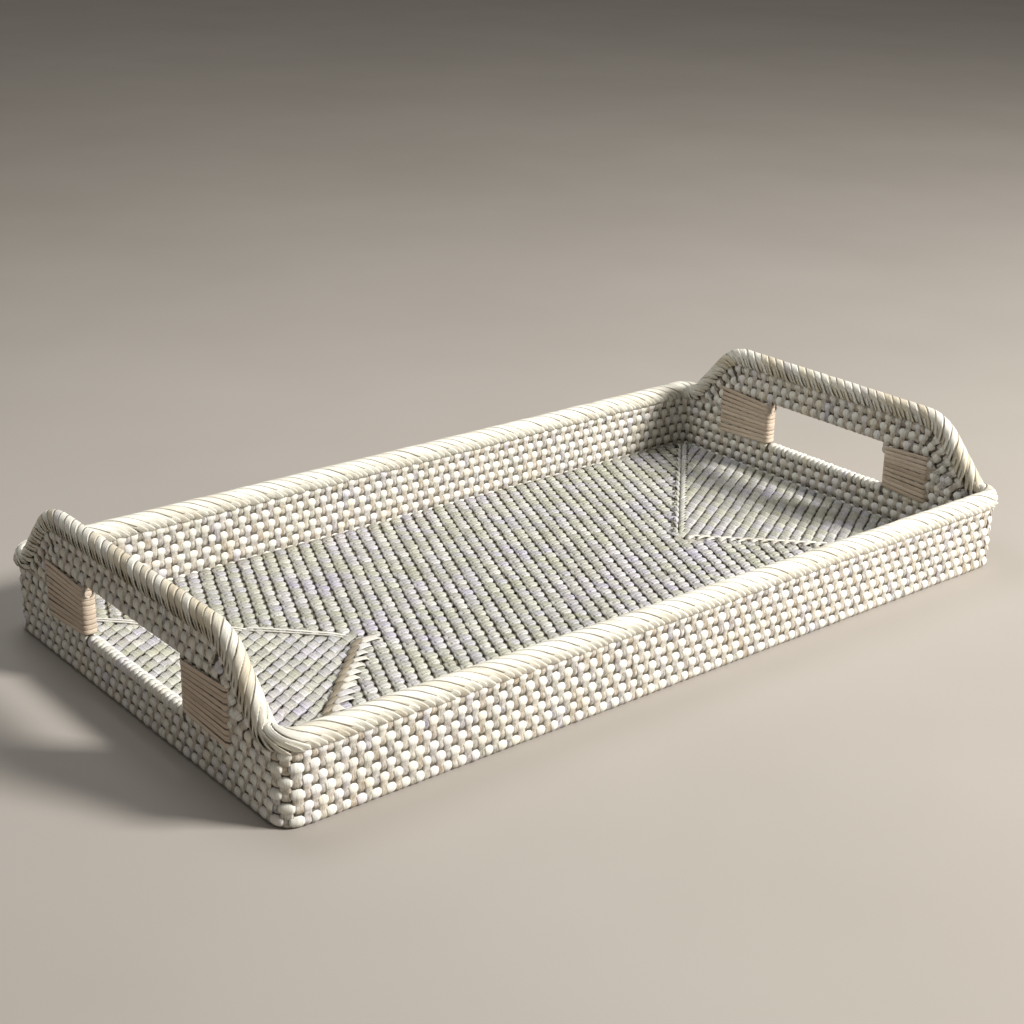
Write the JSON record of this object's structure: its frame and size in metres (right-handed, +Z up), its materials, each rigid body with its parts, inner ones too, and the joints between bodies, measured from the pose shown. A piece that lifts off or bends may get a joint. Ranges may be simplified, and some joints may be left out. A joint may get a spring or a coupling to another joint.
{
  "type": "serving tray",
  "caption": "Rectangular coiled-rattan serving tray, straight low walls, and a raised flat-topped handle with a cut-out hand opening at each end.",
  "frame": {"origin": "centre of the underside, on the plane that the tray rests on", "axes": "+X along the tray to the right handle, +Y across it to the back wall, +Z up"},
  "size_m": [0.561, 0.3012, 0.0934],
  "materials": {
    "cane_core": "round rattan cane, whitewashed, matt",
    "wall_strand": "flat rattan strand, whitewashed, cream to grey-lilac, matt",
    "floor_strand": "flat rattan strand, thin grey-green whitewash, matt",
    "rim_strand": "flat rattan strand, whitewashed, satin",
    "natural_strand": "flat rattan strand, natural tan, satin"
  },
  "bodies": {
    "root": {"floor_binding": "floor_strand", "floor_coil": "cane_core", "left_bow_binding": "wall_strand", "left_bow_coils": "cane_core", "left_handle_binding": "wall_strand", "left_handle_coils": "cane_core", "left_lashing_back": "natural_strand", "left_lashing_front": "natural_strand", "left_post_binding_back": "wall_strand", "left_post_binding_front": "wall_strand", "left_post_coils_back": "cane_core", "left_post_coils_front": "cane_core", "mitre_lacing_left_back": "floor_strand", "mitre_lacing_left_front": "floor_strand", "mitre_lacing_right_back": "floor_strand", "mitre_lacing_right_front": "floor_strand", "right_bow_binding": "wall_strand", "right_bow_coils": "cane_core", "right_handle_binding": "wall_strand", "right_handle_coils": "cane_core", "right_lashing_back": "natural_strand", "right_lashing_front": "natural_strand", "right_post_binding_back": "wall_strand", "right_post_binding_front": "wall_strand", "right_post_coils_back": "cane_core", "right_post_coils_front": "cane_core", "rim_core_left": "cane_core", "rim_core_right": "cane_core", "rim_wrap_left": "rim_strand", "rim_wrap_right": "rim_strand", "wall_binding_1": "wall_strand", "wall_binding_2": "wall_strand", "wall_binding_3": "wall_strand", "wall_binding_4": "wall_strand", "wall_binding_5": "wall_strand", "wall_binding_6": "wall_strand", "wall_coil_1": "cane_core", "wall_coil_2": "cane_core", "wall_coil_3": "cane_core", "wall_coil_4": "cane_core", "wall_coil_5": "cane_core", "wall_coil_6": "cane_core"}
  },
  "joints": []
}
